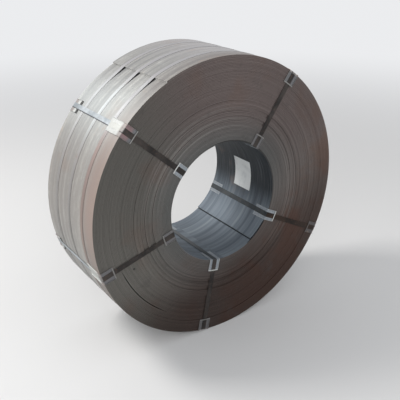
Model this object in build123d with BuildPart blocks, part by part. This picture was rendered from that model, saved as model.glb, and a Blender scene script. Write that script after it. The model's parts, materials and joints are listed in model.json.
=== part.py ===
from build123d import *
import math
import os

os.makedirs("parts", exist_ok=True)

# A coil of steel strip that lies on its side, strapped for transport.
# Millimetres. X is right seen from the front end, Y runs into the coil, Z is up.
# Angles are in degrees, clockwise from the top as seen from the front end.

# The wound strip
bore_radius = 381.0
coil_radius = 885.0
strip_width = 600.0
strip_thick = 8.0
tail_angle = 333.5
head_angle = 145.3
# The second turn climbs over the head end and is back on the bore circle after this arc
head_ease = 70.0
# The first turn stands back from the front face over this arc from its head end
head_back_arc = 22.0
head_back_depth = 5.0

# Turns that stand back from the end faces. At the front two rings of turns stand proud of them,
# each placed from the bore wall
inner_rim_width = 124.0
ring_1_distance = 159.0
ring_1_width = 15.0
ring_2_distance = 209.0
ring_2_width = 35.0
outer_rim_width = 84.0
ring_relief_depth = 6.0
front_relief_depth = 3.0
back_rim_width = 60.0
back_relief_depth = 3.0

# A slack turn at the front face leaves an open gap
slack_radius = 758.0
slack_width = 8.0
slack_depth = 90.0
slack_angle = 233.0
slack_arc = 42.0

# The coil rests on the floor here
floor_angle = 180.0

# Clearance between pieces that lie on each other
clearance = 0.1

# Cutting shapes reach this far past the faces that they open
overcut = 1.0

# Eye straps, through the bore
strap_width = 32.0
strap_thick = 0.8
eye_angle_1 = 311.0
eye_angle_2 = 35.0
eye_angle_3 = 117.0
eye_angle_4 = 190.3
eye_angle_5 = 253.0

# Girth straps, round the outside, measured from the front face
girth_width = 32.0
girth_thick = 0.8
girth_first_distance = 134.0
girth_spacing = 167.0
girth_count = 3

# Corner guards
sheet_thick = 0.8
outer_guard_width = 80.0
bore_guard_width = 72.0
front_outer_leg_length = 150.0
back_outer_leg_length = 82.0
bore_leg_length = 112.0
outer_face_leg_length = 80.0
bore_face_leg_length = 76.0
lip_height = 4.0
lip_thick = 1.0
# A bar across the end of the face leg holds the strap between the lips
keeper_width = 7.0

# Seals
seal_length = 52.0
seal_wall_thick = 0.9
girth_seal_angle = 75.0

# Label on the bore wall, measured from the front face. It bridges the uneven wall
label_clearance = 1.0
label_thick = 0.3
label_start_distance = 216.0
label_height = 166.0
label_angle = 73.0
label_arc = 31.0


def lap_radius(past_tail):
    """Outside of the last turn, this many degrees past the tail end."""
    return coil_radius - strip_thick * past_tail / 360


def outer_radius(angle):
    """Outside of the coil at an angle."""
    return lap_radius((angle - tail_angle) % 360)


# The girth straps carry the coil on the floor
axis_height = outer_radius(floor_angle) + clearance + girth_thick
coil_axis = Axis((0, 0, axis_height), (0, 1, 0))

# Stand-off of a strap from the wall it follows
guard_lift = clearance + girth_thick + clearance
outer_lift = guard_lift + sheet_thick + clearance
flat_lift = clearance + sheet_thick + clearance

# A bend is cut as one flat. This share of the thickness, cut from the outside, keeps it even
bend_cut = 2 - math.sqrt(2)

# The eye seals sit half way up the end face
eye_seal_radius = (bore_radius + coil_radius) / 2


def at(radius, angle):
    """Point in the end view."""
    a = math.radians(angle)
    return (radius * math.sin(a), axis_height + radius * math.cos(a))


def end_plane(y):
    """End view at a depth: local x is X, local y is Z, and the normal points to the front."""
    return Plane.XZ.offset(-y)


def radial_plane(angle):
    """Plane through the axis: local x is the radius, local y runs into the coil."""
    a = math.radians(angle)
    return Plane(
        origin=(0, 0, axis_height),
        x_dir=(math.sin(a), 0, math.cos(a)),
        z_dir=(-math.cos(a), 0, math.sin(a)),
    )


def lap_line(lift, last):
    """Arcs along the last turn at a lift, from the tail end to a number of degrees past it."""
    pieces = 6
    for i in range(pieces):
        a = last * i / pieces
        b = last * (i + 1) / pieces
        m = (a + b) / 2
        ThreePointArc(
            at(lap_radius(a) + lift, tail_angle + a),
            at(lap_radius(m) + lift, tail_angle + m),
            at(lap_radius(b) + lift, tail_angle + b),
        )


def set_back(inner, outer, deep, end):
    """Half section of the space in front of a band of turns at one end, -1 for the front."""
    with Locations(((inner + outer) / 2, end * (strip_width + overcut - deep) / 2)):
        Rectangle(outer - inner, deep + overcut)


ring_1_start = bore_radius + ring_1_distance
ring_2_start = bore_radius + ring_2_distance
outer_rim_start = coil_radius - outer_rim_width

with BuildPart() as coil:
    with BuildSketch(end_plane(strip_width / 2)):
        with BuildLine():
            lap_line(0, 360)
            Line(at(lap_radius(360), tail_angle), at(lap_radius(0), tail_angle))
        make_face()
        with BuildLine():
            CenterArc(
                (0, axis_height),
                bore_radius,
                90 - head_angle - head_ease,
                head_ease - 360,
            )
            Line(at(bore_radius, head_angle), at(bore_radius + strip_thick, head_angle))
            ThreePointArc(
                at(bore_radius + strip_thick, head_angle),
                at(bore_radius + strip_thick / 4, head_angle + head_ease / 2),
                at(bore_radius, head_angle + head_ease),
            )
        make_face(mode=Mode.SUBTRACT)
    extrude(amount=strip_width)
    with BuildSketch(radial_plane(0)):
        set_back(bore_radius + inner_rim_width, ring_1_start, ring_relief_depth, -1)
        set_back(ring_1_start + ring_1_width, ring_2_start, ring_relief_depth, -1)
        set_back(ring_2_start + ring_2_width, outer_rim_start, front_relief_depth, -1)
        set_back(bore_radius + back_rim_width, outer_rim_start, back_relief_depth, 1)
    revolve(axis=coil_axis, mode=Mode.SUBTRACT)
    with BuildSketch(radial_plane(head_angle - head_back_arc)):
        set_back(bore_radius - overcut, bore_radius + strip_thick, head_back_depth, -1)
    revolve(axis=coil_axis, revolution_arc=head_back_arc, mode=Mode.SUBTRACT)
    with BuildSketch(end_plane(slack_depth - strip_width / 2)):
        with BuildLine():
            ThreePointArc(
                at(slack_radius, slack_angle - slack_arc / 2),
                at(slack_radius + slack_width / 2, slack_angle),
                at(slack_radius, slack_angle + slack_arc / 2),
            )
            ThreePointArc(
                at(slack_radius, slack_angle - slack_arc / 2),
                at(slack_radius - slack_width / 2, slack_angle),
                at(slack_radius, slack_angle + slack_arc / 2),
            )
        make_face()
    extrude(amount=slack_depth, mode=Mode.SUBTRACT)
coil.part.label = "coil"
export_step(coil.part, "parts/coil.step")


def loop_points(low, high, half, cut):
    """Corners of a closed loop section, each cut off by a flat."""
    return [
        (low + cut, -half),
        (high - cut, -half),
        (high, cut - half),
        (high, half - cut),
        (high - cut, half),
        (low + cut, half),
        (low, half - cut),
        (low, cut - half),
    ]


def eye_strap(angle):
    """Closed band through the bore, curved to the outside and to the bore wall."""
    inner = bore_radius - flat_lift
    outer = outer_radius(angle) + outer_lift
    half = strip_width / 2 + flat_lift
    cut = bend_cut * (sheet_thick + clearance)
    swing = 2 * math.degrees(math.asin(strap_width / inner))
    with BuildPart() as strap:
        with BuildSketch(radial_plane(angle - swing / 2)):
            with BuildLine():
                Polyline(
                    *loop_points(
                        inner - strap_thick,
                        outer + strap_thick,
                        half + strap_thick,
                        cut + bend_cut * strap_thick,
                    ),
                    close=True,
                )
            make_face()
            with BuildLine():
                Polyline(*loop_points(inner, outer, half, cut), close=True)
            make_face(mode=Mode.SUBTRACT)
        revolve(axis=coil_axis, revolution_arc=swing)
        with BuildSketch(radial_plane(angle)):
            with Locations(((inner + outer) / 2, 0)):
                Rectangle(2 * outer, 4 * half)
        extrude(amount=strap_width / 2, both=True, mode=Mode.INTERSECT)
    return strap.part


def guard_points(wall, out, end, lift, legs, thick):
    """Corners of an L section over an edge.

    out is 1 outside and -1 in the bore, end is -1 at the front and 1 at the back.
    """
    wall_leg, face_leg = legs
    wall_thick, face_thick = thick
    edge = end * strip_width / 2
    cut = bend_cut * wall_thick
    r0 = wall + out * lift
    r1 = r0 + out * wall_thick
    r2 = wall - out * face_leg
    y0 = edge + end * clearance
    y1 = y0 + end * face_thick
    y2 = edge - end * wall_leg
    return [
        (r1 - out * cut, y1),
        (r2, y1),
        (r2, y0),
        (r0, y0),
        (r0, y2),
        (r1, y2),
        (r1, y1 - end * cut),
    ]


def guard(angle, wall, out, end, lift, legs, width, wall_lip):
    """Bent sheet between a strap and an edge, with a raised lip along each side and a keeper bar."""
    swing = 4 * math.degrees(math.asin(width / 2 / wall))
    span = 4 * (legs[0] + legs[1])
    lipped = (sheet_thick + wall_lip, sheet_thick + lip_height)
    plain = (sheet_thick, sheet_thick)
    keeper_radius = wall - out * (legs[1] - keeper_width / 2)
    keeper_height = clearance + sheet_thick + lip_height - lip_thick / 2
    with BuildPart() as sheet:
        with BuildSketch(radial_plane(angle - swing / 2)):
            with BuildLine():
                Polyline(*guard_points(wall, out, end, lift, legs, lipped), close=True)
            make_face()
        revolve(axis=coil_axis, revolution_arc=swing)
        with BuildSketch(radial_plane(angle)):
            with Locations((wall, end * strip_width / 2)):
                Rectangle(span, span)
        extrude(amount=width / 2 - lip_thick, both=True, mode=Mode.SUBTRACT)
        with BuildSketch(radial_plane(angle - swing / 2)):
            with BuildLine():
                Polyline(*guard_points(wall, out, end, lift, legs, plain), close=True)
            make_face()
            with Locations((keeper_radius, end * (strip_width / 2 + keeper_height))):
                Rectangle(keeper_width, lip_thick)
        revolve(axis=coil_axis, revolution_arc=swing)
        with BuildSketch(radial_plane(angle)):
            with Locations((wall, end * strip_width / 2)):
                Rectangle(span, span)
        extrude(amount=width / 2, both=True, mode=Mode.INTERSECT)
    return sheet.part


def eye_seal(angle):
    """Clip over an eye strap on the back face."""
    width = strap_width + 2 * (clearance + seal_wall_thick)
    height = flat_lift + strap_thick + seal_wall_thick
    a = math.radians(angle)
    base = Plane(
        origin=(0, strip_width / 2 + clearance, axis_height),
        x_dir=(math.sin(a), 0, math.cos(a)),
        z_dir=(0, 1, 0),
    )
    with BuildPart() as clip:
        with BuildSketch(base):
            with Locations((eye_seal_radius, 0)):
                Rectangle(seal_length, width)
        extrude(amount=height)
        with BuildSketch(base):
            with Locations((eye_seal_radius, 0)):
                Rectangle(2 * seal_length, strap_width + 2 * clearance)
        extrude(amount=height - seal_wall_thick, mode=Mode.SUBTRACT)
    return clip.part


def girth_y(index):
    """Middle of a girth strap along Y."""
    return girth_first_distance + girth_spacing * index - strip_width / 2


def girth_strap(index):
    """Band round the last turn. It bridges the step at the tail end by a straight run."""
    low = lap_radius(360) + clearance
    top = lap_radius(0) + clearance
    bridge = math.degrees(math.acos(low / top))
    last = 360 - bridge
    with BuildPart() as strap:
        with BuildSketch(end_plane(girth_y(index) + girth_width / 2)):
            with BuildLine():
                lap_line(clearance + girth_thick, last)
                Line(
                    at(lap_radius(last) + clearance + girth_thick, tail_angle + last),
                    at(lap_radius(0) + clearance + girth_thick, tail_angle),
                )
            make_face()
            with BuildLine():
                lap_line(clearance, last)
                Line(
                    at(lap_radius(last) + clearance, tail_angle + last),
                    at(lap_radius(0) + clearance, tail_angle),
                )
            make_face(mode=Mode.SUBTRACT)
        extrude(amount=girth_width)
    return strap.part


def girth_seal(index):
    """Clip over a girth strap, curved to the outside."""
    base = outer_radius(girth_seal_angle) + clearance
    height = girth_thick + clearance + seal_wall_thick
    channel = girth_thick + clearance
    swing = math.degrees(seal_length / base)
    with BuildPart() as clip:
        with BuildSketch(radial_plane(girth_seal_angle - swing / 2)):
            with Locations((base + height / 2, girth_y(index))):
                Rectangle(height, girth_width + 2 * (clearance + seal_wall_thick))
            with Locations((base + (channel - overcut) / 2, girth_y(index))):
                Rectangle(channel + overcut, girth_width + 2 * clearance, mode=Mode.SUBTRACT)
        revolve(axis=coil_axis, revolution_arc=swing)
    return clip.part


eye_angles = [eye_angle_1, eye_angle_2, eye_angle_3, eye_angle_4, eye_angle_5]
outer_front_legs = (front_outer_leg_length, outer_face_leg_length)
outer_back_legs = (back_outer_leg_length, outer_face_leg_length)
bore_legs = (bore_leg_length, bore_face_leg_length)

for number, angle in enumerate(eye_angles, 1):
    rim = outer_radius(angle)
    made = {
        "eye_strap": eye_strap(angle),
        "outer_guard_front": guard(
            angle, rim, 1, -1, guard_lift, outer_front_legs, outer_guard_width, lip_height
        ),
        "outer_guard_back": guard(
            angle, rim, 1, 1, guard_lift, outer_back_legs, outer_guard_width, lip_height
        ),
        "bore_guard_front": guard(
            angle, bore_radius, -1, -1, clearance, bore_legs, bore_guard_width, 0
        ),
        "bore_guard_back": guard(
            angle, bore_radius, -1, 1, clearance, bore_legs, bore_guard_width, 0
        ),
        "eye_seal": eye_seal(angle),
    }
    for name, part in made.items():
        part.label = f"{name}_{number}"
        export_step(part, f"parts/{name}_{number}.step")

for index in range(girth_count):
    band = girth_strap(index)
    band.label = f"girth_strap_{index + 1}"
    export_step(band, f"parts/girth_strap_{index + 1}.step")
    clip = girth_seal(index)
    clip.label = f"girth_seal_{index + 1}"
    export_step(clip, f"parts/girth_seal_{index + 1}.step")

with BuildPart() as label:
    with BuildSketch(radial_plane(label_angle)):
        label_radius = bore_radius - label_clearance - label_thick / 2
        label_y = label_start_distance + label_height / 2 - strip_width / 2
        with Locations((label_radius, label_y)):
            Rectangle(label_thick, label_height)
    revolve(axis=coil_axis, revolution_arc=label_arc)
label.part.label = "label"
export_step(label.part, "parts/label.step")
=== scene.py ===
import json
import math
from functools import cached_property

import bpy
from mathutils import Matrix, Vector

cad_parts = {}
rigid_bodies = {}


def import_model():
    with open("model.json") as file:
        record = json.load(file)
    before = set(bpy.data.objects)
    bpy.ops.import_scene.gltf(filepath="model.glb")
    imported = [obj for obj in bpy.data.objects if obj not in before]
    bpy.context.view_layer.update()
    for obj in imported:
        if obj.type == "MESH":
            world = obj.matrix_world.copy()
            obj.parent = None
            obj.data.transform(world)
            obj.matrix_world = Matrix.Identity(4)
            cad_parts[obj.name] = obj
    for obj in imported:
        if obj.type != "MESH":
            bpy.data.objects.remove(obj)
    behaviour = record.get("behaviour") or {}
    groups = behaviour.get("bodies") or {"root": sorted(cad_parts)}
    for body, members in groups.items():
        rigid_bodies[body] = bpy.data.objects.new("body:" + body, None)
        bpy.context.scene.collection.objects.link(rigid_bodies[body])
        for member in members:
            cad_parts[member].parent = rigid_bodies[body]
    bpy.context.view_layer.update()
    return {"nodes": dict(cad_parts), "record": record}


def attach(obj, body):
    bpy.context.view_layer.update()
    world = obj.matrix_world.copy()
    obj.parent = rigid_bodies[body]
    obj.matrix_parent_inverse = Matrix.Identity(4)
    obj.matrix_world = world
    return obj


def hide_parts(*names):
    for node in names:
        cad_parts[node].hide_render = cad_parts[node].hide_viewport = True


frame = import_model()

# A coil of steel strip that lies on its side, dressed for its looks. Metres.
# Angles are in degrees, clockwise from the top as seen from the front end.
bore = next(mount for mount in frame["record"]["mounts"] if mount["name"] == "bore")
AXIS_Z = bore["pos_m"][2]
BORE_R = bore["dims"]["r_mm"] / 1000
WIDTH = bore["dims"]["length_mm"] / 1000
HALF_W = WIDTH / 2
COIL_R = 0.885
STRIP_T = 0.008
TAIL_ANGLE = 333.5
HEAD_ANGLE = 145.3
HEAD_EASE = 70.0
HEAD_BACK_ARC = 22.0
HEAD_BACK = 0.005

# The strip is wound anticlockwise from its head in the bore to its tail outside
WHOLE_TURNS = 61
TURNS = WHOLE_TURNS + ((HEAD_ANGLE - TAIL_ANGLE) % 360) / 360
PITCH = (COIL_R - BORE_R - STRIP_T) / TURNS
EVEN_AFTER = 14.0
STRIP_GAP = 0.0003
STRIP_ROUNDING = 0.0008

# Bands of turns that stand back from the front end: from, to and how deep
SET_BACK = ((0.505, 0.540, 0.006), (0.555, 0.590, 0.006), (0.625, 0.801, 0.003))
BACK_BAND = (0.441, 0.801, 0.003)
BAND_SOFT = 0.006

# Turns whose front edges stay proud, by their radius, and what share of their setting back they lose
PROUD_RINGS = ((0.478, 1.0), (0.498, 0.8), (0.547, 1.0), (0.596, 0.8), (0.618, 0.9), (0.700, 0.35))

# Rings of turns whose front edges get a painted highlight on the lit side, by their radius, and how much
RING_HIGHLIGHTS = ((0.415, 0.10), (0.473, 0.27), (0.513, 0.27), (0.576, 0.26))

# The slack stretch: the turn outside its gap, the middle and half of its arc, and the turns that feel it
SLACK_TURN = 46.0
SLACK_ANGLE = 233.0
SLACK_HALF_ARC = 21.0
SLACK_STEEP = 2.2
SLACK_FADE = 22.0

# Straps, guards and seals
LAY = 0.0001
STRAP_W = 0.032
STRAP_T = 0.0008
STRAP_BEND = 0.003
EYE_ANGLES = (311.0, 35.0, 117.0, 190.3, 253.0)
GIRTH_COUNT = 3
GIRTH_FIRST = 0.134
GIRTH_PITCH = 0.167
SHEET_T = 0.0008
LIP_H = 0.004
LIP_T = 0.001
GUARD_BEND = 0.0022
GUARD_SKEW = 0.03
OUTER_GUARD_W = 0.080
BORE_GUARD_W = 0.072
FRONT_LEG = 0.150
BACK_LEG = 0.082
BORE_LEG = 0.112
OUTER_FACE_LEG = 0.080
BORE_FACE_LEG = 0.076
BORE_WALL_LIP = 0.12
KEEPER_LOW = 0.0034
KEEPER_W = 0.007
SEAL_LENGTH = 0.052
SEAL_WALL = 0.0009
SEAL_ANGLE = 75.0
PINCH_AT = 0.012
PINCH_HALF = 0.0035
PINCH_IN = 0.045
PINCH_DOWN = 0.0006
GUARD_LIFT = LAY + STRAP_T + LAY
OUTER_LIFT = GUARD_LIFT + SHEET_T + LAY
FLAT_LIFT = LAY + SHEET_T + LAY

# How much painted shade dulls the face legs of the guards, strap by strap
OUTER_FACE_SHADE = (0.62, 0.66, 0.90, 0.75, 0.72)
BORE_FACE_SHADE = (0.0, 0.72, 0.05, 0.05, 0.72)

# Run of an eye strap that lies on the front outer guard
GUARD_TIP = -HALF_W + FRONT_LEG
GUARD_EDGE = -HALF_W + 0.022

# The photograph's place of the camera, and a lens that takes in the whole coil
CAMERA_AT = (-2.1195, -3.0879, 2.4615)
LOOK_AT = (0.0, -0.04, 0.80)
LENS = 57.0
SENSOR = 36.0


def lap_radius(past_tail):
    """Outside of the last turn, this many degrees past the tail end."""
    return COIL_R - STRIP_T * past_tail / 360


def outer_radius(angle):
    """Outside of the coil at an angle."""
    return lap_radius((angle - TAIL_ANGLE) % 360)


def turn_at(radius):
    """How many turns lie inside a radius."""
    return (radius - BORE_R) / PITCH


def girth_middle(index):
    """Where the middle of a girth strap lies across the width."""
    return GIRTH_FIRST + GIRTH_PITCH * index - HALF_W


def from_top(angle):
    """An angle as the finishes measure it: in radians from the top, less than 0 on the left."""
    return math.radians((angle + 180) % 360 - 180)


TAIL = from_top(TAIL_ANGLE)


# Node trees

def plug(tree, socket, value):
    """Links a socket to another one, or sets it to a plain value."""
    if isinstance(value, bpy.types.NodeSocket):
        tree.links.new(value, socket)
    else:
        socket.default_value = value


class Maths:
    """Short names for the nodes and the arithmetic of one node tree."""

    def __init__(self, tree):
        self.tree = tree

    def node(self, kind, inputs=None, output=0, **settings):
        """One output of a new node, after its settings are made and its inputs linked or set."""
        node = self.tree.nodes.new(kind)
        for name, value in settings.items():
            setattr(node, name, value)
        for key, value in (inputs or {}).items():
            plug(self.tree, node.inputs[key], value)
        return node.outputs[output]

    def do(self, operation, *values, clamp=False):
        inputs = dict(enumerate(values))
        return self.node("ShaderNodeMath", inputs, operation=operation, use_clamp=clamp)

    def chain(self, operation, first, *others):
        """The same operation on several values, from the left."""
        for other in others:
            first = self.do(operation, first, other)
        return first

    def plus(self, *values):
        return self.chain("ADD", *values)

    def times(self, *values):
        return self.chain("MULTIPLY", *values)

    def minus(self, a, b):
        return self.do("SUBTRACT", a, b)

    def over(self, a, b):
        return self.do("DIVIDE", a, b)

    def rest(self, share):
        """What a share leaves of 1."""
        return self.minus(1.0, share)

    def clamped(self, value):
        """A value kept between 0 and 1."""
        return self.do("ADD", value, 0.0, clamp=True)

    def reach(self, a, b):
        """Distance of a point from the corner that two lengths run from."""
        return self.do("SQRT", self.plus(self.times(a, a), self.times(b, b)))

    def blend(self, share, a, b):
        """a where share is 0, b where it is 1."""
        return self.plus(a, self.times(share, self.minus(b, a)))

    def smooth(self, value, most=1.0):
        """Smooth step of a value between 0 and 1, up to its most."""
        x = self.clamped(value)
        step = self.times(self.times(x, x), self.minus(3.0, self.times(2.0, x)))
        return step if most == 1.0 else self.times(step, most)

    def above(self, value, start, slope, most=1.0):
        """0 below a start, rising smoothly to its most above it."""
        return self.smooth(self.times(self.minus(value, start), slope), most)

    def below(self, value, end, slope, most=1.0):
        """0 above an end, rising smoothly to its most below it."""
        return self.smooth(self.times(self.minus(end, value), slope), most)

    def bump(self, value, centre, half, most=1.0):
        """Its most at the centre, falling smoothly to 0 at half its width."""
        off = self.do("ABSOLUTE", self.minus(value, centre))
        return self.smooth(self.rest(self.over(off, half)), most)

    def window(self, value, low, high, soft):
        """1 between two values and 0 outside them, with soft ends."""
        rise = self.smooth(self.over(self.minus(value, low), soft))
        return self.times(rise, self.smooth(self.over(self.minus(high, value), soft)))

    def vector(self, x, y, z=0.0):
        return self.node("ShaderNodeCombineXYZ", {0: x, 1: y, 2: z})

    def split(self, vector):
        """The three parts of a vector."""
        parts = self.tree.nodes.new("ShaderNodeSeparateXYZ")
        plug(self.tree, parts.inputs[0], vector)
        return parts.outputs


class Finish(Maths):
    """A material in the making, coloured by where its point lies on the coil."""

    def __init__(self, name):
        self.material = bpy.data.materials.new(name)
        self.material.use_nodes = True
        super().__init__(self.material.node_tree)
        self.shader = self.tree.nodes["Principled BSDF"]
        self.place = self.node("ShaderNodeTexCoord", output="Object")

    @cached_property
    def spot(self):
        """The point's three coordinates, the height measured from the coil's axis."""
        x, y, height = self.split(self.place)
        return x, y, self.minus(height, AXIS_Z)

    @cached_property
    def radius(self):
        """How far the point lies from the coil's axis."""
        x, y, z = self.spot
        return self.reach(x, z)

    @cached_property
    def angle(self):
        """The point's angle about the axis, as from_top gives it."""
        x, y, z = self.spot
        return self.do("ARCTAN2", x, z)

    def round_at(self, angle, half, most=1.0):
        """Its most at an angle of the coil, falling smoothly to 0 at half its arc, both in degrees."""
        return self.bump(self.angle, from_top(angle), math.radians(half), most)

    def off_girth_strap(self):
        """How far the point lies behind the middle of the nearest girth strap."""
        way = self.over(self.minus(self.spot[1], girth_middle(0)), GIRTH_PITCH)
        return self.times(self.minus(self.do("FRACT", self.plus(way, 0.5)), 0.5), GIRTH_PITCH)

    def attribute(self, name):
        """A value that the geometry tree kept on the piece."""
        return self.node("ShaderNodeAttribute", output="Fac", attribute_name=name)

    def noise(self, scale, detail, rough, vector=None):
        """Cloudy noise between 0 and 1."""
        vector = self.place if vector is None else vector
        sizes = {"Vector": vector, "Scale": scale, "Detail": detail, "Roughness": rough}
        return self.node("ShaderNodeTexNoise", sizes, "Fac")

    def contrast(self, value, slope, middle=0.5):
        """A noise drawn out from its middle to nearly 0 and 1."""
        return self.smooth(self.plus(self.times(self.minus(value, 0.5), slope), middle))

    def ramp(self, factor, stops):
        """Colour by a factor, from a few stops of (position, colour)."""
        node = self.tree.nodes.new("ShaderNodeValToRGB")
        plug(self.tree, node.inputs["Fac"], factor)
        points = node.color_ramp.elements
        while len(points) < len(stops):
            points.new(0.5)
        for point, (place, colour) in zip(points, stops):
            point.position = place
            point.color = (*colour, 1.0)
        return node.outputs["Color"]

    def mix(self, share, a, b, kind="MIX"):
        """Two colours mixed by a share."""
        a, b = [(*colour, 1.0) if isinstance(colour, tuple) else colour for colour in (a, b)]
        inputs = {0: share, 6: a, 7: b}
        return self.node("ShaderNodeMix", inputs, 2, data_type="RGBA", blend_type=kind)

    def layers(self, colour, *layers):
        """A colour under several tints, each with its share and perhaps its kind of mixing."""
        for share, tint, *kind in layers:
            colour = self.mix(share, colour, tint, *kind)
        return colour

    def roughen(self, height, strength, distance):
        """Gives the surface a fine bump."""
        inputs = {"Strength": strength, "Distance": distance, "Height": height}
        self.tree.links.new(self.node("ShaderNodeBump", inputs), self.shader.inputs["Normal"])

    def surface(self, colour, metallic, roughness):
        """Gives the shader its main values and hands over the material."""
        for name, value in (("Base Color", colour), ("Metallic", metallic), ("Roughness", roughness)):
            plug(self.tree, self.shader.inputs[name], value)
        return self.material


class FittingFinish(Finish):
    """A finish for straps, guards and seals, with clouds, specks and a fine bump."""

    def __init__(self, name, grain):
        super().__init__(name)
        self.cloud = self.noise(grain, 4.0, 0.6)
        self.speck = self.noise(grain * 12, 3.0, 0.6)
        self.roughen(self.speck, 0.2, 0.0004)


class Pattern(Maths):
    """A geometry tree with a named input for each size, from which pieces are grown."""

    def __init__(self, name, sizes):
        super().__init__(bpy.data.node_groups.new(name, "GeometryNodeTree"))
        self.sizes = sizes
        sockets = self.tree.interface
        for label, value in sizes.items():
            kind = "NodeSocketInt" if isinstance(value, int) else "NodeSocketFloat"
            socket = sockets.new_socket(label, in_out="INPUT", socket_type=kind)
            socket.default_value = value
        sockets.new_socket("Geometry", in_out="OUTPUT", socket_type="NodeSocketGeometry")
        self.size = self.tree.nodes.new("NodeGroupInput").outputs

    def position(self):
        """The three coordinates of the point at hand."""
        return self.split(self.node("GeometryNodeInputPosition"))

    def moved(self, shape, x, y, z):
        """The shape with every point put at new coordinates."""
        inputs = {"Geometry": shape, "Position": self.vector(x, y, z)}
        return self.node("GeometryNodeSetPosition", inputs)

    def round_the_coil(self, shape, angle, across, radius, along):
        """Lays a shape at an angle of the coil. It keeps its width and curves with the radius."""
        up = self.do("SQRT", self.minus(self.times(radius, radius), self.times(across, across)))
        sine, cosine = self.do("SINE", angle), self.do("COSINE", angle)
        x = self.plus(self.times(up, sine), self.times(across, cosine))
        z = self.plus(AXIS_Z, self.minus(self.times(up, cosine), self.times(across, sine)))
        return self.moved(shape, x, along, z)

    def on_circle(self, shape, radius, angle, across):
        """Puts every point at a radius and an angle about the axis, and at its place across."""
        x = self.times(radius, self.do("SINE", angle))
        z = self.plus(AXIS_Z, self.times(radius, self.do("COSINE", angle)))
        return self.moved(shape, x, across, z)

    def stored(self, shape, name, value):
        """Keeps a value on the points for the finish, or for a later step, to read."""
        inputs = {"Geometry": shape, "Name": name, "Value": value}
        return self.node(
            "GeometryNodeStoreNamedAttribute", inputs, data_type="FLOAT", domain="POINT"
        )

    def crisp(self, shape, limit=0.5):
        """Smooth faces that meet in crisp edges where they turn sharply."""
        bend = self.node("GeometryNodeInputMeshEdgeAngle")
        sharp = self.do("GREATER_THAN", bend, limit)
        inputs = {"Geometry": shape, "Selection": sharp, "Shade Smooth": False}
        return self.node("GeometryNodeSetShadeSmooth", inputs, domain="EDGE")

    def joined(self, *shapes):
        """Several shapes as one."""
        whole = self.tree.nodes.new("GeometryNodeJoinGeometry")
        for shape in shapes:
            self.tree.links.new(shape, whole.inputs[0])
        return whole.outputs[0]

    def run(self, count):
        """A plain line of points for a rule to lay out."""
        line = self.node("GeometryNodeCurvePrimitiveLine")
        return self.node("GeometryNodeResampleCurve", {"Curve": line, "Count": count})

    def facing(self, curve, normal):
        """A curve whose sweep keeps one side towards a direction."""
        inputs = {"Curve": curve, "Normal": normal}
        return self.node("GeometryNodeSetCurveNormal", inputs, mode="FREE")

    def closed(self, curve):
        return self.node("GeometryNodeSetSplineCyclic", {"Geometry": curve, "Cyclic": True})

    def rounded(self, curve, radius, count):
        """A curve with its corners rounded in a few steps."""
        inputs = {"Curve": curve, "Radius": radius, "Count": count}
        return self.node("GeometryNodeFilletCurve", inputs, mode="POLY")

    def flat_section(self, width, height):
        """A flat strip's section."""
        inputs = {"Width": width, "Height": height}
        return self.node("GeometryNodeCurvePrimitiveQuadrilateral", inputs)

    def swept(self, curve, section, capped):
        """A section swept along a curve, with or without closed ends."""
        inputs = {"Curve": curve, "Profile Curve": section, "Fill Caps": capped}
        return self.node("GeometryNodeCurveToMesh", inputs)

    def sweep_along(self, count, profile):
        """A profile swept along Z, one metre a point, so that a rule can lay it where it belongs."""
        ends = {"Start": (0.0, 0.0, 0.0), "End": (0.0, 0.0, count - 1.0)}
        line = self.node("GeometryNodeCurvePrimitiveLine", ends)
        points = self.node("GeometryNodeResampleCurve", {"Curve": line, "Count": count})
        return self.swept(self.facing(points, (1.0, 0.0, 0.0)), profile, True)

    def outline(self, corners):
        """Closed curve through the corners, each a pair of values or links."""
        line = self.node("GeometryNodeMeshLine", {"Count": len(corners)})
        index = self.node("GeometryNodeInputIndex")
        chosen = []
        for values in zip(*corners):
            switch = self.tree.nodes.new("GeometryNodeIndexSwitch")
            switch.data_type = "FLOAT"
            while len(switch.index_switch_items) < len(corners):
                switch.index_switch_items.new()
            for place, value in enumerate((index, *values)):
                plug(self.tree, switch.inputs[place], value)
            chosen.append(switch.outputs[0])
        line = self.moved(line, chosen[0], chosen[1], 0.0)
        return self.closed(self.node("GeometryNodeMeshToCurve", {0: line}))

    def finish(self, shape, material):
        """Ends the tree in real geometry with its material."""
        real = self.node("GeometryNodeRealizeInstances", {0: shape})
        inputs = {"Geometry": real, "Material": material}
        dressed = self.node("GeometryNodeSetMaterial", inputs)
        group_output = self.tree.nodes.new("NodeGroupOutput")
        self.tree.links.new(dressed, group_output.inputs[0])

    def grow(self, name, **changed):
        """Runs the tree once, with some sizes changed, and gives the plain mesh object that it makes."""
        sizes = dict(self.sizes)
        sizes.update({label.replace("_", " ").capitalize(): value for label, value in changed.items()})
        objects = bpy.context.scene.collection.objects
        seed = bpy.data.objects.new(name + "_seed", bpy.data.meshes.new(name + "_seed"))
        objects.link(seed)
        modifier = seed.modifiers.new("grow", "NODES")
        modifier.node_group = self.tree
        for item in self.tree.interface.items_tree:
            if item.in_out == "INPUT":
                modifier[item.identifier] = sizes[item.name]
        graph = bpy.context.evaluated_depsgraph_get()
        mesh = bpy.data.meshes.new_from_object(seed.evaluated_get(graph), depsgraph=graph)
        seed.modifiers.clear()
        bpy.data.objects.remove(seed)
        mesh.name = name
        piece = bpy.data.objects.new(name, mesh)
        objects.link(piece)
        return piece


def stand_for(piece, node):
    """Lets a finished piece stand for one CAD node."""
    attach(piece, "root")
    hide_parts(node)
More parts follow.
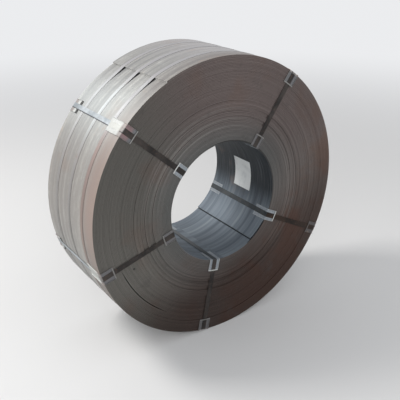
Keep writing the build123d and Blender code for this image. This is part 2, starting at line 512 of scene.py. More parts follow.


# Finish of the wound strip

# Tones of the scale outside and in the bore, by its streaks, and of the cut edges, turn by turn. The
# bore's are painted darker and bluer, as shade and sky reflection
PALE_STREAKS = (
    (0.25, (0.21, 0.21, 0.22)),
    (0.42, (0.32, 0.32, 0.32)),
    (0.58, (0.43, 0.43, 0.42)),
    (0.78, (0.58, 0.58, 0.56)),
)
BORE_SHADED_STREAKS = (
    (0.30, (0.090, 0.106, 0.128)),
    (0.55, (0.165, 0.196, 0.228)),
    (0.75, (0.260, 0.290, 0.310)),
)
CUT_TONES = (
    (0.28, (0.058, 0.053, 0.050)),
    (0.45, (0.116, 0.103, 0.096)),
    (0.58, (0.158, 0.141, 0.132)),
    (0.75, (0.235, 0.214, 0.202)),
)

# Tints of the outside, with a painted sky reflection by strap 1 and painted shadow in the wedges under
# the girth straps
GRAIN_GREY = (0.10, 0.10, 0.11)
MOTTLE_GREY = (0.20, 0.20, 0.19)
CREAM_CAST = (1.0, 0.985, 0.94)
SKY_SHEEN_BLUE = (0.54, 0.62, 0.64)
FRONT_BROWN = (0.195, 0.165, 0.150)
LOW_SAND = (0.42, 0.375, 0.335)
LOW_PINK = (0.43, 0.32, 0.28)
TOP_LILAC = (0.49, 0.465, 0.475)
RUST_BLOOM = (0.46, 0.31, 0.22)
WEDGE_SHADOW = (0.020, 0.020, 0.022)

# Painted shade in the bore, and tints of the scale in both places
BORE_TOP_SHADE = (0.020, 0.023, 0.026)
STEP_SHADE = (0.012, 0.012, 0.014)
SKIN_STREAK = (0.26, 0.27, 0.29)
SKIN_RUST = (0.30, 0.20, 0.15)

# Tints of the cut edges, among them painted shade low down and along the first turn, and painted light
# on the band feet, the proud rings and the tail's cut end
ROSY = (0.165, 0.118, 0.112)
GREENISH = (0.120, 0.122, 0.105)
EDGE_RUST = (0.155, 0.092, 0.068)
LOW_RUST_AND_SHADE = (0.34, 0.235, 0.20)
BLACK = (0.0, 0.0, 0.0)
BORE_SIDE = (0.080, 0.088, 0.088)
BAND_FOOT_LIGHT = (0.26, 0.235, 0.22)
RING_HIGHLIGHT = (0.34, 0.33, 0.31)
SPECK_BROWN = (0.060, 0.045, 0.040)
BLOTCH_BROWN = (0.055, 0.050, 0.048)
FLECK_DARK = (0.020, 0.020, 0.018)
FIRST_TURN_SHADE = (0.024, 0.025, 0.025)
TAIL_CUT_LIGHT = (0.58, 0.57, 0.55)


class StripFinish(Finish):
    """The wound strip's finish in the making, with its turns, streaks, clouds and specks."""

    def __init__(self):
        super().__init__("mill_scale_strip")
        self.edge = self.attribute("edge")
        self.turn = self.attribute("turn")
        self.streak = self.streaks(30.0, 0.7, 0.35, 5.0, 0.6)
        self.fine_streak = self.streaks(160.0, 1.0, 1.2, 3.0, 0.6)
        self.cloud = self.noise(3.2, 4.0, 0.6)
        self.blotch = self.noise(9.0, 4.0, 0.65)
        self.speck = self.noise(60.0, 3.0, 0.6)

    def streaks(self, across, by_turn, round_way, detail, rough):
        """Noise that changes so fast across the width, from turn to turn and round the coil."""
        way = self.vector(
            self.times(self.spot[1], across),
            self.times(self.turn, by_turn),
            self.times(self.angle, round_way),
        )
        return self.noise(1.0, detail, rough, way)


def outside_scale(f):
    """Pale scale: brown by the front edge, a painted bluish sky reflection by strap 1, pink low down,
    lilac on top.
    """
    grain = f.streaks(55.0, 0.7, 14.0, 4.0, 0.7)
    mottle = f.noise(95.0, 2.0, 0.6)
    by_front = f.below(f.spot[1], -0.12, 7.0)
    weathered = f.window(f.angle, from_top(294.1), 0.0, 0.30)
    front_share = f.minus(0.80, f.times(weathered, 0.40))
    on_top = f.times(f.round_at(8.6, 34.4), f.rest(f.times(by_front, 0.65)))
    rusty = f.times(f.above(f.blotch, 0.56, 7.0), f.above(f.streak, 0.45, 4.0))
    return f.layers(
        f.ramp(f.streak, PALE_STREAKS),
        (f.below(grain, 0.68, 5.0, most=0.28), GRAIN_GREY),
        (f.above(mottle, 0.46, 6.0, most=0.16), MOTTLE_GREY),
        (0.5, CREAM_CAST, "MULTIPLY"),
        # Painted bluish sky reflection by strap 1
        (f.round_at(314.2, 20.6, most=0.24), SKY_SHEEN_BLUE),
        (f.times(by_front, front_share), FRONT_BROWN),
        (f.round_at(279.8, 48.7, most=0.38), LOW_SAND),
        (f.times(by_front, f.round_at(282.6, 43.0), 0.60), LOW_PINK),
        (f.times(on_top, 0.55), TOP_LILAC),
        (f.times(rusty, 0.35), RUST_BLOOM),
    )


def painted_wedge_shadow(f, pale):
    """Painted shadow in the gap under the girth straps by the tail end, and along their front edge."""
    wedge_start = TAIL - math.radians(11.5)
    wedge_growth = math.radians(9.0)
    wedge_w = 0.012
    off_strap = f.off_girth_strap()
    to_tail = f.clamped(f.over(f.minus(f.angle, wedge_start), wedge_growth))
    front_side = f.minus(-STRAP_W / 2 + 0.001, f.times(to_tail, wedge_w))
    behind_front = f.above(off_strap, front_side, 500.0)
    before_back = f.do("LESS_THAN", off_strap, STRAP_W / 2)
    below_tail = f.do("LESS_THAN", f.angle, TAIL)
    under = f.times(behind_front, before_back, f.smooth(f.times(to_tail, 3.0)), below_tail)
    # Painted shadow in the wedge gaps under the girth straps
    return f.mix(f.times(under, 0.93), pale, WEDGE_SHADOW)


def bore_scale(f):
    """Blue-grey scale painted darker than outside as shade and sky reflection, with painted shade under
    the bore's top and on the head end's step.
    """
    y, z = f.spot[1:]
    by_head = f.times(f.above(f.turn, 0.9962, 600.0), f.do("LESS_THAN", f.turn, 1.0))
    step_wall = f.window(f.radius, BORE_R + 0.0070, BORE_R + 0.0097, 0.0003)
    at_front = f.below(y, -HALF_W + 0.006, 1000.0)
    return f.layers(
        # Streaky scale in painted shade and sky reflection
        f.ramp(f.streak, BORE_SHADED_STREAKS),
        # Painted shade under the bore's top
        (f.above(z, -0.20, 5.0, most=0.92), BORE_TOP_SHADE),
        # Painted shade on the head end's step, and on its wall by the front
        (f.times(by_head, 0.9), STEP_SHADE),
        (f.times(step_wall, at_front), STEP_SHADE),
    )


def turn_tone(f):
    """Every turn's own tone, evener far from the bore."""
    sizes = {"W": f.turn, "Scale": 0.9, "Detail": 4.0, "Roughness": 0.7}
    tone = f.node("ShaderNodeTexNoise", sizes, "Fac", noise_dimensions="1D")
    far = f.above(f.radius, 0.60, 8.0)
    return f.blend(f.blend(far, 0.35, 0.5), tone, 0.52)


def cut_edges(f, tone):
    """The ends: rosy above, greenish to the left, rust and painted shade low on the right, painted shade
    by the foot, darker upper left and right, blue-grey by the bore.
    """
    x, y, z = f.spot
    cloudy = f.times(f.cloud, 0.3)
    high = f.minus(f.plus(z, f.times(x, 0.3)), cloudy)
    to_left = f.minus(f.times(x, -1.0), cloudy)
    low_right = f.above(f.minus(x, f.times(z, 0.8)), 0.15, 1.5)
    rust = f.above(f.plus(f.cloud, f.times(low_right, 0.12)), 0.50, 5.0)
    low_way = f.minus(f.plus(f.times(x, 0.45), f.times(f.cloud, 0.25)), z)
    rust_and_shade = f.above(low_way, 0.15, 1.7)
    by_foot = f.below(z, -0.30, 2.5, most=0.32)
    past_rings = f.blend(f.above(f.radius, 0.50, 10.0), 0.10, 0.32)
    upper_left = f.times(f.round_at(311.3, 97.4), past_rings)
    upper_right = f.round_at(49.8, 51.6, most=0.24)
    by_bore = f.times(f.below(f.radius, BORE_R + 1 / 4.5, 4.5), f.rest(rust_and_shade))
    to_right = f.above(f.minus(x, f.times(z, 0.5)), 0.20, 3.0)
    return f.layers(
        f.ramp(tone, CUT_TONES),
        (f.above(high, 0.05, 2.2, most=0.50), ROSY),
        (f.above(to_left, 0.05, 2.5, most=0.45), GREENISH),
        (f.times(rust, f.blend(low_right, 0.30, 0.65)), EDGE_RUST),
        # Rust and painted shade low on the right
        (f.times(rust_and_shade, 0.90), LOW_RUST_AND_SHADE, "MULTIPLY"),
        # Painted shade towards the floor, and darker on the upper left and upper right
        (f.plus(by_foot, upper_left, upper_right), BLACK),
        (f.times(by_bore, f.blend(to_right, 0.60, 0.22)), BORE_SIDE),
    )


def rings(f, cut):
    """Painted highlights on proud turns on the lit side, and painted light on the feet of the narrow
    bands that stand back, against their shade.
    """
    left, right = f.round_at(305.6, 57.3), f.round_at(97.4, 57.3)
    for inner, outer, depth in SET_BACK[:2]:
        foot = f.plus(
            f.times(left, f.bump(f.radius, inner + 0.004, 0.012)),
            f.times(right, f.bump(f.radius, outer - 0.008, 0.014)),
        )
        # Painted light on the feet of the bands, against their shade
        cut = f.mix(f.times(foot, 0.40), cut, BAND_FOOT_LIGHT)
    # Painted highlights on the proud rings, on the lit side
    lit = f.round_at(328.5, 77.3)
    for ring_radius, share in RING_HIGHLIGHTS:
        ring = f.bump(f.turn, turn_at(ring_radius), 1.3)
        cut = f.mix(f.times(ring, lit, share), cut, RING_HIGHLIGHT)
    return cut


def edge_marks_and_shade(f, cut):
    """Specks and blotches on the ends, one dark fleck, and painted shade along the first turn and round
    the head end.
    """
    fleck = f.times(f.bump(f.radius, 0.686, 0.014), f.round_at(248.0, 1.2))
    return f.layers(
        cut,
        (f.above(f.speck, 0.55, 5.0, most=0.35), SPECK_BROWN),
        (f.above(f.blotch, 0.60, 8.0, most=0.30), BLOTCH_BROWN),
        (f.above(fleck, 0.25, 2.5, most=0.85), FLECK_DARK),
        # Painted shade along the first turn's front edge by the bore
        (f.times(f.window(f.turn, -0.1, 0.46, 0.05), 0.85), FIRST_TURN_SHADE),
        # Painted shade where the first turn stands back by the head end
        (f.below(f.turn, HEAD_BACK_ARC / 360, 300.0, most=0.9), STEP_SHADE),
    )


def strip_finish():
    """Mill scale outside and in the bore, brown-grey cut edges on the ends, with rust."""
    f = StripFinish()
    outside = f.above(f.radius, COIL_R - 0.05, 40.0)
    skin = f.layers(
        f.mix(outside, bore_scale(f), painted_wedge_shadow(f, outside_scale(f))),
        (f.above(f.fine_streak, 0.5, 5.0, most=0.24), SKIN_STREAK),
        (f.above(f.cloud, 0.56, 6.0, most=0.22), SKIN_RUST),
    )
    tone = turn_tone(f)
    cut = edge_marks_and_shade(f, rings(f, cut_edges(f, tone)))
    # Painted light on the tail's cut end
    cut = f.mix(f.above(f.turn, TURNS - 0.0006, 4000.0), cut, TAIL_CUT_LIGHT)
    buried = f.window(f.radius, BORE_R + 0.010, COIL_R - 0.0105, 0.001)
    colour = f.mix(f.do("MAXIMUM", f.smooth(f.edge), buried), skin, cut)
    metal = f.blend(f.edge, f.plus(0.45, f.times(outside, 0.1)), 0.15)
    skin_rough = f.plus(0.46, f.times(f.streak, 0.20))
    rough = f.blend(f.edge, skin_rough, f.plus(0.55, f.times(tone, 0.2)))
    f.shader.inputs["Specular IOR Level"].default_value = 0.30
    height = f.plus(f.times(f.fine_streak, 0.5), f.times(f.speck, 0.5))
    f.roughen(height, 0.25, 0.0008)
    return f.surface(colour, metal, rough)


# Finishes of the fittings

def eye_strap_finish():
    """Blued strap in painted light and shade: dark on the end faces, mid-dark in the bore, a bright
    painted sky reflection outside.
    """
    f = FittingFinish("eye_strap_steel", 9.0)
    y = f.spot[1]
    outside = f.above(f.radius, COIL_R - 0.012, 200.0)
    inside = f.below(f.radius, BORE_R + 0.002, 200.0)
    share = f.contrast(f.cloud, 3.0)
    # Painted shade on the end faces
    dark = f.mix(share, (0.020, 0.0175, 0.0165), (0.052, 0.044, 0.040))
    dark = f.mix(f.round_at(EYE_ANGLES[2], 28.6), dark, (0.62, 0.42, 0.30), "MULTIPLY")
    over_guard = f.window(y, GUARD_EDGE, GUARD_TIP, 0.006)
    # Painted shadow along the strap's lower edge, where it stands off the coil
    shadow_w = 0.0062
    lower_side = f.below(f.attribute("across"), shadow_w - STRAP_W / 2, 600.0)
    # Painted sky reflection on the outside, with a painted highlight over the front guard
    bright = f.layers(
        f.mix(share, (0.31, 0.345, 0.37), (0.48, 0.515, 0.54)),
        (over_guard, (0.44, 0.45, 0.43)),
        (f.below(y, -HALF_W + 0.042, 50.0, most=0.9), (0.20, 0.18, 0.17)),
        (f.above(y, 0.17, 9.0, most=0.85), (0.25, 0.28, 0.30)),
        (f.times(lower_side, f.rest(over_guard), 0.85), (0.045, 0.045, 0.048)),
    )
    # Painted shade in the bore
    bored = f.mix(share, (0.035, 0.042, 0.048), (0.075, 0.084, 0.088))
    colour = f.mix(inside, f.mix(outside, dark, bright), bored)
    colour = f.mix(f.above(f.speck, 0.58, 6.0, most=0.5), colour, (0.16, 0.085, 0.05))
    return f.surface(colour, 0.55, f.plus(0.25, f.times(f.cloud, 0.3)))


def girth_strap_finish():
    """Bare strap with long streaks, a painted sky highlight below the tail end, painted light above and
    shade below, and painted shade along its sides.
    """
    f = FittingFinish("girth_strap_steel", 6.0)
    x, y, z = f.spot
    off_middle = f.do("ABSOLUTE", f.off_girth_strap())
    front_one = f.below(y, -0.04, 20.0)
    back_one = f.above(y, 0.04, 20.0)

    # Painted highlight from the tail end down, longest on the middle strap and down the middle of each
    below_tail = f.window(f.angle, from_top(294.0), TAIL + math.radians(1.0), 0.26)
    mid_width = f.blend(f.bump(off_middle, 0.0, 0.015), 0.40, 1.0)
    highlight_share = f.rest(f.plus(f.times(front_one, 0.65), f.times(back_one, 0.35)))
    by_tail = f.above(f.angle, TAIL - math.radians(9.0), 1 / math.radians(5.0))
    sky_highlight = f.times(below_tail, mid_width, f.do("MAXIMUM", highlight_share, by_tail))

    way = f.vector(f.times(y, 110.0), f.times(f.angle, 1.5))
    share = f.contrast(f.noise(1.0, 4.0, 0.6, way), 3.0, 0.55)
    # Lighter above and darker below, as painted light and shade
    high = f.above(z, 0.75 - AXIS_Z, 1.6)
    low_grey = f.mix(share, (0.14, 0.14, 0.14), (0.28, 0.27, 0.26))
    dull = f.layers(low_grey, (high, (0.36, 0.35, 0.36)), (f.times(share, 0.35), (0.44, 0.44, 0.44)))
    bright = f.mix(share, (0.38, 0.41, 0.42), (0.62, 0.66, 0.66))
    low_down = f.below(f.angle, from_top(314.0), 4.0)
    # Painted shade along the strap's sides
    side = f.above(off_middle, STRAP_W / 2 - 0.0006, 2500.0)
    colour = f.layers(
        f.mix(sky_highlight, dull, bright),
        (f.times(front_one, low_down), (0.93, 0.75, 0.70), "MULTIPLY"),
        (f.times(low_down, 0.5), (1.0, 0.95, 0.88), "MULTIPLY"),
        (f.times(side, f.blend(low_down, 0.35, 0.95)), (0.050, 0.042, 0.036)),
        (f.above(f.cloud, 0.6, 6.0, most=0.4), (0.30, 0.20, 0.14)),
    )
    return f.surface(colour, 0.6, f.plus(0.3, f.times(f.cloud, 0.3)))


def zinc_finish():
    """Galvanised sheet: painted highlight on the lips and outside legs, painted shade in the soiled
    trough.
    """
    f = FittingFinish("galvanised_sheet", 22.0)
    y = f.spot[1]
    lip = f.clamped(f.attribute("lip"))
    spangle = f.node("ShaderNodeTexVoronoi", {"Vector": f.place, "Scale": 170.0}, "Color")
    tone = f.node("ShaderNodeSeparateColor", {0: spangle})
    soil = f.plus(f.times(tone, 0.5), f.times(f.cloud, 0.5))
    # Painted shade in the trough, painted light on the lips and outside legs
    trough_shade = f.mix(soil, (0.17, 0.19, 0.215), (0.36, 0.39, 0.42))
    lit_zinc = f.mix(tone, (0.48, 0.49, 0.48), (0.58, 0.59, 0.57))
    outside = f.above(f.radius, COIL_R - 0.012, 200.0)

    # Painted shade and a rust stain on the face legs, brown at the edge, dark at the tips of the back
    # legs
    off_middle = f.do("ABSOLUTE", y)
    on_face = f.above(off_middle, HALF_W - 0.006, 150.0)
    by_first = f.round_at(EYE_ANGLES[0], 5.7)
    tip = f.times(outside, f.bump(y, HALF_W - BACK_LEG + 0.009, 0.018))
    colour = f.layers(
        f.mix(f.do("MAXIMUM", lip, outside), trough_shade, lit_zinc),
        # Painted shade on the face legs
        (f.times(on_face, f.attribute("dull")), (0.075, 0.062, 0.058)),
        (f.times(on_face, by_first, f.above(f.radius, 0.815, 40.0), 0.60), (0.32, 0.165, 0.160)),
        (f.times(outside, f.above(off_middle, HALF_W - 0.042, 50.0, most=0.90)), (0.27, 0.240, 0.230)),
        (f.above(tip, 0.0, 2.5, most=0.95), (0.015, 0.015, 0.015)),
        (f.above(f.cloud, 0.62, 7.0, most=0.45), (0.36, 0.26, 0.20)),
    )
    return f.surface(colour, 0.35, f.plus(0.38, f.times(tone, 0.08)))


def seal_finish():
    """Plated clip, dull and scuffed."""
    f = FittingFinish("plated_seal", 30.0)
    colour = f.mix(f.contrast(f.cloud, 4.0), (0.16, 0.165, 0.17), (0.40, 0.41, 0.42))
    return f.surface(colour, 0.6, f.plus(0.28, f.times(f.cloud, 0.25)))


def paper_finish():
    """Bare label, slightly soiled."""
    f = Finish("bare_label")
    soil = f.above(f.noise(14.0, 5.0, 0.6), 0.42, 3.0)
    return f.surface(f.mix(soil, (0.71, 0.725, 0.72), (0.52, 0.54, 0.54)), 0.0, 0.75)


# The wound strip

def laps_out(p, turn):
    """How many laps out a turn lies: the first ones climb over the head end, later ones evenly."""
    ease = HEAD_EASE / 360
    whole, part = p.do("FLOOR", turn), p.do("FRACT", turn)
    climb = p.do("POWER", p.do("MAXIMUM", p.over(p.minus(part, 1 - ease), ease), 0.0), 2.0)
    even = p.do("DIVIDE", turn, EVEN_AFTER, clamp=True)
    return p.plus(whole, p.blend(even, climb, part))


def slackness(p, turn, angle):
    """How far the turns inside the slack stretch are pressed together, which leaves an open gap."""
    turned = p.over(p.minus(math.radians(SLACK_ANGLE), angle), math.tau)
    turned = p.do("FRACT", p.plus(turned, 0.5))
    off = p.over(p.do("ABSOLUTE", p.minus(turned, 0.5)), SLACK_HALF_ARC / 360)
    near = p.smooth(p.times(SLACK_STEEP, p.rest(off)))
    inside = p.do("LESS_THAN", turn, SLACK_TURN)
    fade = p.smooth(p.rest(p.over(p.minus(SLACK_TURN, turn), SLACK_FADE)))
    return p.times(p.size["Slack"], near, inside, fade)


def stray(p, turn, angle, seed):
    """How far each turn stands back from an end, and a slow wave round the coil."""
    seeded = p.plus(turn, seed)
    cells = {"W": seeded, "Scale": 0.22}
    group = p.node("ShaderNodeTexVoronoi", cells, "Color", voronoi_dimensions="1D")
    group = p.node("FunctionNodeSeparateColor", {0: group})
    lines = {"W": seeded, "Scale": 0.8, "Detail": 3.0}
    single = p.node("ShaderNodeTexNoise", lines, "Fac", noise_dimensions="1D")
    ring = 1.2
    way = p.vector(
        p.times(p.do("SINE", angle), ring), p.times(p.do("COSINE", angle), ring), p.times(seeded, 0.6)
    )
    wave = p.node("ShaderNodeTexNoise", {"Vector": way, "Scale": 1.0, "Detail": 1.0}, "Fac")
    each = p.plus(p.times(group, 0.30), p.times(single, 0.55), p.times(wave, 0.45))
    return p.times(p.size["Stray"], p.do("MAXIMUM", p.minus(each, 0.30), 0.0)), wave


def band_depth(p, radius, low, high, depth):
    """How far a band of turns stands back."""
    return p.times(p.window(radius, low, high, BAND_SOFT), depth)


def strip_coil(material):
    """One strip wound on itself, as a long spiral sweep of the strip's own section."""
    p = Pattern("wound_strip", {
        "Turns": TURNS,
        "Points a turn": 180,
        "Bore radius": BORE_R,
        "Pitch": PITCH,
        "Thickness": STRIP_T - STRIP_GAP,
        "Width": WIDTH,
        "Stray": 0.0022,
        "Slack": 0.0045,
        "Seed": 4.7,
    })
    width = p.size["Width"]
    seed = p.size["Seed"]
    count = p.do("FLOOR", p.times(p.size["Turns"], p.size["Points a turn"]))
    index = p.node("GeometryNodeInputIndex")
    turn = p.times(p.size["Turns"], p.over(index, p.minus(count, 1.0)))
    from_middle = p.times(p.size["Pitch"], laps_out(p, turn))
    radius = p.plus(p.plus(p.size["Bore radius"], STRIP_T / 2), from_middle)
    angle = p.minus(math.radians(HEAD_ANGLE), p.times(turn, math.tau))

    # Bands of turns stand back at both ends. Each turn strays a little, and some rings stay proud
    front, wave = stray(p, turn, angle, seed)
    for band in SET_BACK:
        front = p.plus(front, band_depth(p, radius, *band))
    for ring_radius, share in PROUD_RINGS:
        ring = p.bump(turn, turn_at(ring_radius), 1.4)
        front = p.times(front, p.rest(p.times(ring, share)))
    head_back = p.window(turn, -0.1, HEAD_BACK_ARC / 360, 0.006)
    front = p.plus(front, p.times(head_back, HEAD_BACK))
    rear = p.plus(stray(p, turn, angle, p.plus(seed, 31.0))[0], band_depth(p, radius, *BACK_BAND))
    slack = slackness(p, turn, angle)

    waviness = 0.0003
    radius = p.plus(radius, p.times(p.minus(wave, 0.5), waviness))
    spiral = p.on_circle(p.run(count), radius, angle, 0.0)
    for name, value in (("turn", turn), ("front", front), ("rear", rear), ("slack", slack)):
        spiral = p.stored(spiral, name, value)
    spiral = p.facing(spiral, (0.0, 1.0, 0.0))

    # The strip's section, with slightly rounded corners
    section = p.rounded(p.flat_section(width, p.size["Thickness"]), STRIP_ROUNDING, 1)
    flat_half = p.minus(p.times(width, 0.5), STRIP_ROUNDING)
    past_flat = p.minus(p.do("ABSOLUTE", p.position()[0]), flat_half)
    section = p.stored(section, "edge", p.over(past_flat, STRIP_ROUNDING))
    wound = p.swept(spiral, section, True)

    # Move each end of the strip in by its own depth, and press the slack stretch at the front
    x, y, z = p.position()
    at_front = p.do("LESS_THAN", y, 0.0)
    front, rear, slack = [
        p.node("GeometryNodeInputNamedAttribute", {"Name": name}) for name in ("front", "rear", "slack")
    ]
    inward = p.blend(at_front, p.times(rear, -1.0), front)
    z = p.minus(z, AXIS_Z)
    press = p.rest(p.times(at_front, p.over(slack, p.reach(x, z))))
    wound = p.moved(wound, p.times(x, press), p.plus(y, inward), p.plus(AXIS_Z, p.times(z, press)))
    p.finish(p.crisp(wound), material)
    stand_for(p.grow("strip_coil"), "coil")


# Guards, straps and seals

def guard_section(p, half, top):
    """A sheet's section with a lip along each side."""
    middle, inner = p.times(half, 0.4), p.minus(half, LIP_T)
    right = [
        (middle, 0.0), (half, 0.0), (half, top / 2), (half, top), (inner, top), (inner, SHEET_T),
        (middle, SHEET_T),
    ]
    left = [(p.times(across, -1.0), height) for across, height in reversed(right)]
    return p.outline(left[-2:] + right + left[:-2])


def keeper_bar(p, half, top, at):
    """A bar from lip to lip, as a slab that lies one step past the sheet's last one."""
    slab = {"Size": (1.0, 1.0, 1.0), "Vertices X": 9, "Vertices Y": 2, "Vertices Z": 2}
    bar = p.node("GeometryNodeMeshCube", slab)
    x, y, z = p.position()
    bar_top = top - 0.0001
    into_lips = 2.01
    span = p.times(p.minus(half, LIP_T), into_lips)
    height = p.plus((bar_top + KEEPER_LOW) / 2, p.times(y, bar_top - KEEPER_LOW))
    return p.moved(bar, p.times(x, span), height, p.plus(at, z))


def guard_pattern(material):
    """Bent sheet with a raised lip along each side and a bar that holds the strap down."""
    p = Pattern("corner_guard", {
        "Angle": 0.0, "Wall": 1.0, "Out": 1.0, "End": 1.0, "Lift": LAY, "Wall leg": 0.1,
        "Face leg": 0.1, "Guard width": 0.08, "Wall lip": 1.0, "Skew": 0.0, "Bend": GUARD_BEND,
        "Dull": 0.5,
    })
    size, bend = p.size, p.size["Bend"]
    wall_steps, bend_steps, face_steps = 6, 8, 6
    last = wall_steps + bend_steps + face_steps
    half = p.times(size["Guard width"], 0.5)
    top = SHEET_T + LIP_H
    sheet = p.sweep_along(last + 1, guard_section(p, half, top))
    shape = p.joined(keeper_bar(p, half, top, last + 1.5), sheet)

    # How far the step at hand lies along the wall leg, round the bend and down the face leg
    x, y, z = p.position()
    step = p.do("MINIMUM", z, float(last))
    straight = p.minus(size["Wall leg"], bend)
    on_wall = p.times(straight, p.do("DIVIDE", step, float(wall_steps), clamp=True))
    bow = p.do("DIVIDE", p.minus(step, float(wall_steps)), float(bend_steps), clamp=True)
    bow = p.times(bow, math.pi / 2)
    past_bend = p.minus(step, float(wall_steps + bend_steps))
    on_face = p.do("DIVIDE", past_bend, float(face_steps), clamp=True)
    on_face = p.times(p.minus(size["Face leg"], bend), on_face)
    on_bar = p.do("GREATER_THAN", z, last + 0.5)
    on_face = p.minus(on_face, p.times(on_bar, p.times(p.minus(last + 2.0, z), KEEPER_W)))

    # The lips of the wall leg may be lower than those of the face leg
    lip_share = p.blend(p.smooth(p.over(bow, math.pi / 2)), size["Wall lip"], 1.0)
    low = p.do("MINIMUM", y, SHEET_T)
    height = p.plus(low, p.times(p.minus(y, low), lip_share))
    reach = p.plus(bend, height)
    along = p.plus(p.times(reach, p.do("SINE", bow)), p.minus(on_wall, straight))
    rise = p.minus(p.times(reach, p.do("COSINE", bow)), on_face)
    y_to = p.times(size["End"], p.plus(p.minus(HALF_W + LAY, bend), along))
    radius = p.plus(size["Wall"], p.times(size["Out"], p.plus(p.minus(size["Lift"], bend), rise)))
    run = p.minus(p.plus(on_wall, on_face), straight)
    across = p.plus(x, p.times(size["Skew"], run))
    shape = p.stored(shape, "lip", p.over(p.minus(y, SHEET_T * 1.1), LIP_H * 0.5))
    shape = p.stored(shape, "dull", size["Dull"])
    shape = p.round_the_coil(shape, p.do("RADIANS", size["Angle"]), across, radius, y_to)
    shape = p.node("GeometryNodeMergeByDistance", {"Geometry": shape, "Distance": 0.000001})
    p.finish(p.crisp(shape, 0.6), material)
    return p


def corner_guards(material):
    """The twenty guards under the eye straps."""
    p = guard_pattern(material)
    ends = {"front": -1.0, "back": 1.0}
    for number, angle in enumerate(EYE_ANGLES, 1):
        outer = {
            "wall": outer_radius(angle), "out": 1.0, "lift": GUARD_LIFT, "guard_width": OUTER_GUARD_W,
            "wall_lip": 1.0, "face_leg": OUTER_FACE_LEG, "dull": OUTER_FACE_SHADE[number - 1],
        }
        inner = {
            "wall": BORE_R, "out": -1.0, "lift": LAY, "guard_width": BORE_GUARD_W,
            "wall_lip": BORE_WALL_LIP, "face_leg": BORE_FACE_LEG, "dull": BORE_FACE_SHADE[number - 1],
        }
        outer_legs, bore_legs = (FRONT_LEG, BACK_LEG), (BORE_LEG, BORE_LEG)
        for place, sizes, legs in (("outer", outer, outer_legs), ("bore", inner, bore_legs)):
            for (side, end), leg in zip(ends.items(), legs):
                name = f"{place}_guard_{side}_{number}"
                skew = GUARD_SKEW * math.sin(number * 2.3 + sizes["out"] + end * 0.7)
                piece = p.grow("sheet_" + name, angle=angle, end=end, wall_leg=leg, skew=skew, **sizes)
                stand_for(piece, name)


def eye_straps(material):
    """Closed bands through the bore, bent over the guards."""
    sizes = {"Angle": 0.0, "Outer wall": COIL_R, "Bend": STRAP_BEND, "Strap width": STRAP_W}
    p = Pattern("eye_strap", sizes)
    low = BORE_R - FLAT_LIFT - STRAP_T / 2
    high = p.plus(p.size["Outer wall"], OUTER_LIFT + STRAP_T / 2)
    half = HALF_W + FLAT_LIFT + STRAP_T / 2
    loop = p.outline([(low, -half), (high, -half), (high, half), (low, half)])
    loop = p.facing(p.rounded(loop, p.size["Bend"], 6), (0.0, 0.0, 1.0))
    band = p.swept(loop, p.flat_section(p.size["Strap width"], STRAP_T), False)
    x, y, z = p.position()
    band = p.stored(band, "across", z)
    band = p.round_the_coil(band, p.do("RADIANS", p.size["Angle"]), z, x, y)
    p.finish(p.crisp(band, 0.8), material)
    for number, angle in enumerate(EYE_ANGLES, 1):
        piece = p.grow(f"band_eye_strap_{number}", angle=angle, outer_wall=outer_radius(angle))
        stand_for(piece, f"eye_strap_{number}")


def girth_straps(material):
    """Bands round the last turn. Each bridges the step at the tail end by a straight run."""
    p = Pattern("girth_strap", {"Middle": 0.0, "Points": 260, "Strap width": STRAP_W})
    low, top = lap_radius(360) + LAY, lap_radius(0) + LAY
    last = 360 - math.degrees(math.acos(low / top))
    index = p.node("GeometryNodeInputIndex")
    past = p.times(p.over(index, p.minus(p.size["Points"], 1.0)), last)
    radius = p.minus(top + STRAP_T / 2, p.times(past, STRIP_T / 360))
    angle = p.do("RADIANS", p.plus(TAIL_ANGLE, past))
    loop = p.on_circle(p.run(p.size["Points"]), radius, angle, p.size["Middle"])
    loop = p.facing(p.closed(loop), (0.0, 1.0, 0.0))
    band = p.swept(loop, p.flat_section(p.size["Strap width"], STRAP_T), False)
    p.finish(p.crisp(band, 0.8), material)
    for index in range(GIRTH_COUNT):
        piece = p.grow(f"band_girth_strap_{index + 1}", middle=girth_middle(index))
        stand_for(piece, f"girth_strap_{index + 1}")


def seal_shape(p, height):
    """A clip folded over a strap, pinched twice. Gives the mesh, and its run, width and height."""
    half = STRAP_W / 2 + LAY + SEAL_WALL
    inner = half - SEAL_WALL
    low_top = height - SEAL_WALL
    section = p.outline([
        (-half, 0.0), (-half, height), (-half / 2, height), (0.0, height), (half / 2, height),
        (half, height), (half, 0.0), (inner, 0.0), (inner, low_top), (-inner, low_top), (-inner, 0.0),
    ])
    last = 40
    shape = p.sweep_along(last + 1, section)
    x, y, z = p.position()
    run = p.times(p.minus(p.over(z, float(last)), 0.5), SEAL_LENGTH)
    pinch = p.plus(p.bump(run, -PINCH_AT, PINCH_HALF), p.bump(run, PINCH_AT, PINCH_HALF))
    width = p.times(x, p.rest(p.times(pinch, PINCH_IN)))
    on_top = p.do("GREATER_THAN", y, height * 0.9)
    rise = p.minus(y, p.times(pinch, PINCH_DOWN, on_top))
    return shape, run, width, rise


def eye_seals(material):
    """Clips over the eye straps, on the back face."""
    p = Pattern("eye_seal", {"Angle": 0.0})
    shape, run, width, rise = seal_shape(p, FLAT_LIFT + STRAP_T + SEAL_WALL)
    angle = p.do("RADIANS", p.size["Angle"])
    sine, cosine = p.do("SINE", angle), p.do("COSINE", angle)
    out = p.plus((BORE_R + COIL_R) / 2, run)
    x = p.plus(p.times(out, sine), p.times(width, cosine))
    z = p.plus(AXIS_Z, p.minus(p.times(out, cosine), p.times(width, sine)))
    p.finish(p.crisp(p.moved(shape, x, p.plus(HALF_W + LAY, rise), z)), material)
    for number, angle in enumerate(EYE_ANGLES, 1):
        piece = p.grow(f"clip_eye_seal_{number}", angle=angle)
        stand_for(piece, f"eye_seal_{number}")


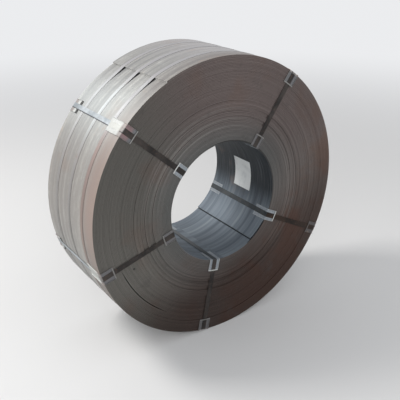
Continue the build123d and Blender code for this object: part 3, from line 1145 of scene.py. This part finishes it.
def girth_seals(material):
    """Clips over the girth straps, on the right side."""
    p = Pattern("girth_seal", {"Middle": 0.0})
    shape, run, width, rise = seal_shape(p, STRAP_T + LAY + SEAL_WALL)
    base = outer_radius(SEAL_ANGLE) + LAY
    angle = p.plus(math.radians(SEAL_ANGLE), p.over(run, base))
    shape = p.on_circle(shape, p.plus(base, rise), angle, p.plus(p.size["Middle"], width))
    p.finish(p.crisp(shape), material)
    for index in range(GIRTH_COUNT):
        piece = p.grow(f"clip_girth_seal_{index + 1}", middle=girth_middle(index))
        stand_for(piece, f"girth_seal_{index + 1}")


def dress_label(material):
    """Gives the label's own CAD node its finish."""
    slots = frame["nodes"]["label"].data.materials
    slots.clear()
    slots.append(material)


# Lamps, floor and camera

def aimed(name, data, at, aim):
    """A lamp or camera that faces a point."""
    thing = bpy.data.objects.new(name, data)
    thing.location = at
    thing.rotation_euler = (Vector(aim) - Vector(at)).to_track_quat("-Z", "Y").to_euler()
    bpy.context.scene.collection.objects.link(thing)
    return thing


def area_lamp(name, at, size, power, colour):
    """Soft square lamp that faces the middle of the coil."""
    data = bpy.data.lights.new(name, "AREA")
    data.shape = "SQUARE"
    data.size = size
    data.energy = power
    data.color = colour
    aimed(name, data, at, (0.0, 0.0, AXIS_Z))


def pale_world():
    """Soft light from all round. To the camera and in reflections it is a pale backdrop."""
    lit, seen_as = 0.55, 0.86
    world = bpy.data.worlds.new("studio")
    world.use_nodes = True
    bpy.context.scene.world = world
    back = world.node_tree.nodes["Background"]
    m = Maths(world.node_tree)
    path = m.tree.nodes.new("ShaderNodeLightPath").outputs
    seen = m.do("MAXIMUM", path["Is Glossy Ray"], path["Is Transmission Ray"])
    seen = m.do("MAXIMUM", path["Is Camera Ray"], seen)
    m.tree.links.new(m.blend(seen, lit, seen_as), back.inputs["Strength"])
    back.inputs["Color"].default_value = (0.97, 0.98, 1.0, 1.0)


def pale_floor():
    """Level floor that keeps the shadow and fades into the backdrop far out."""
    half = 40.0
    mesh = bpy.data.meshes.new("floor")
    corners = [(-half, -half, 0.0), (half, -half, 0.0), (half, half, 0.0), (-half, half, 0.0)]
    mesh.from_pydata(corners, [], [(0, 1, 2, 3)])
    floor = bpy.data.objects.new("floor", mesh)
    bpy.context.scene.collection.objects.link(floor)
    f = Finish("studio_floor")
    f.shader.inputs["Base Color"].default_value = (0.74, 0.74, 0.74, 1.0)
    f.shader.inputs["Roughness"].default_value = 0.9
    far = f.node("ShaderNodeVectorMath", {0: f.place}, "Value", operation="LENGTH")
    fade_from, fade_over = 2.6, 7.0
    fade = f.smooth(f.over(f.minus(far, fade_from), fade_over))
    glow = f.node("ShaderNodeEmission", {"Color": (0.834, 0.843, 0.86, 1.0)})
    share = f.times(fade, f.node("ShaderNodeLightPath", output="Is Camera Ray"))
    both = f.node("ShaderNodeMixShader", {0: share, 1: f.shader.outputs[0], 2: glow})
    f.tree.links.new(both, f.tree.nodes["Material Output"].inputs["Surface"])
    mesh.materials.append(f.material)


def studio():
    """Pale floor and backdrop, soft lamps and the camera."""
    scene = bpy.context.scene
    scene.view_settings.view_transform = "Standard"
    area_lamp("key", (-3.4, 2.8, 5.7), 2.0, 265.0, (1.0, 0.98, 0.95))
    area_lamp("fill", (-4.0, -4.8, 3.4), 4.0, 150.0, (0.96, 0.98, 1.0))
    area_lamp("side", (3.4, -4.4, 2.6), 3.0, 40.0, (1.0, 1.0, 1.0))
    pale_world()
    pale_floor()
    data = bpy.data.cameras.new("camera")
    data.lens = LENS
    data.sensor_width = SENSOR
    scene.camera = aimed("camera", data, CAMERA_AT, LOOK_AT)


studio()
strip_coil(strip_finish())
corner_guards(zinc_finish())
eye_straps(eye_strap_finish())
girth_straps(girth_strap_finish())
seal_steel = seal_finish()
eye_seals(seal_steel)
girth_seals(seal_steel)
dress_label(paper_finish())
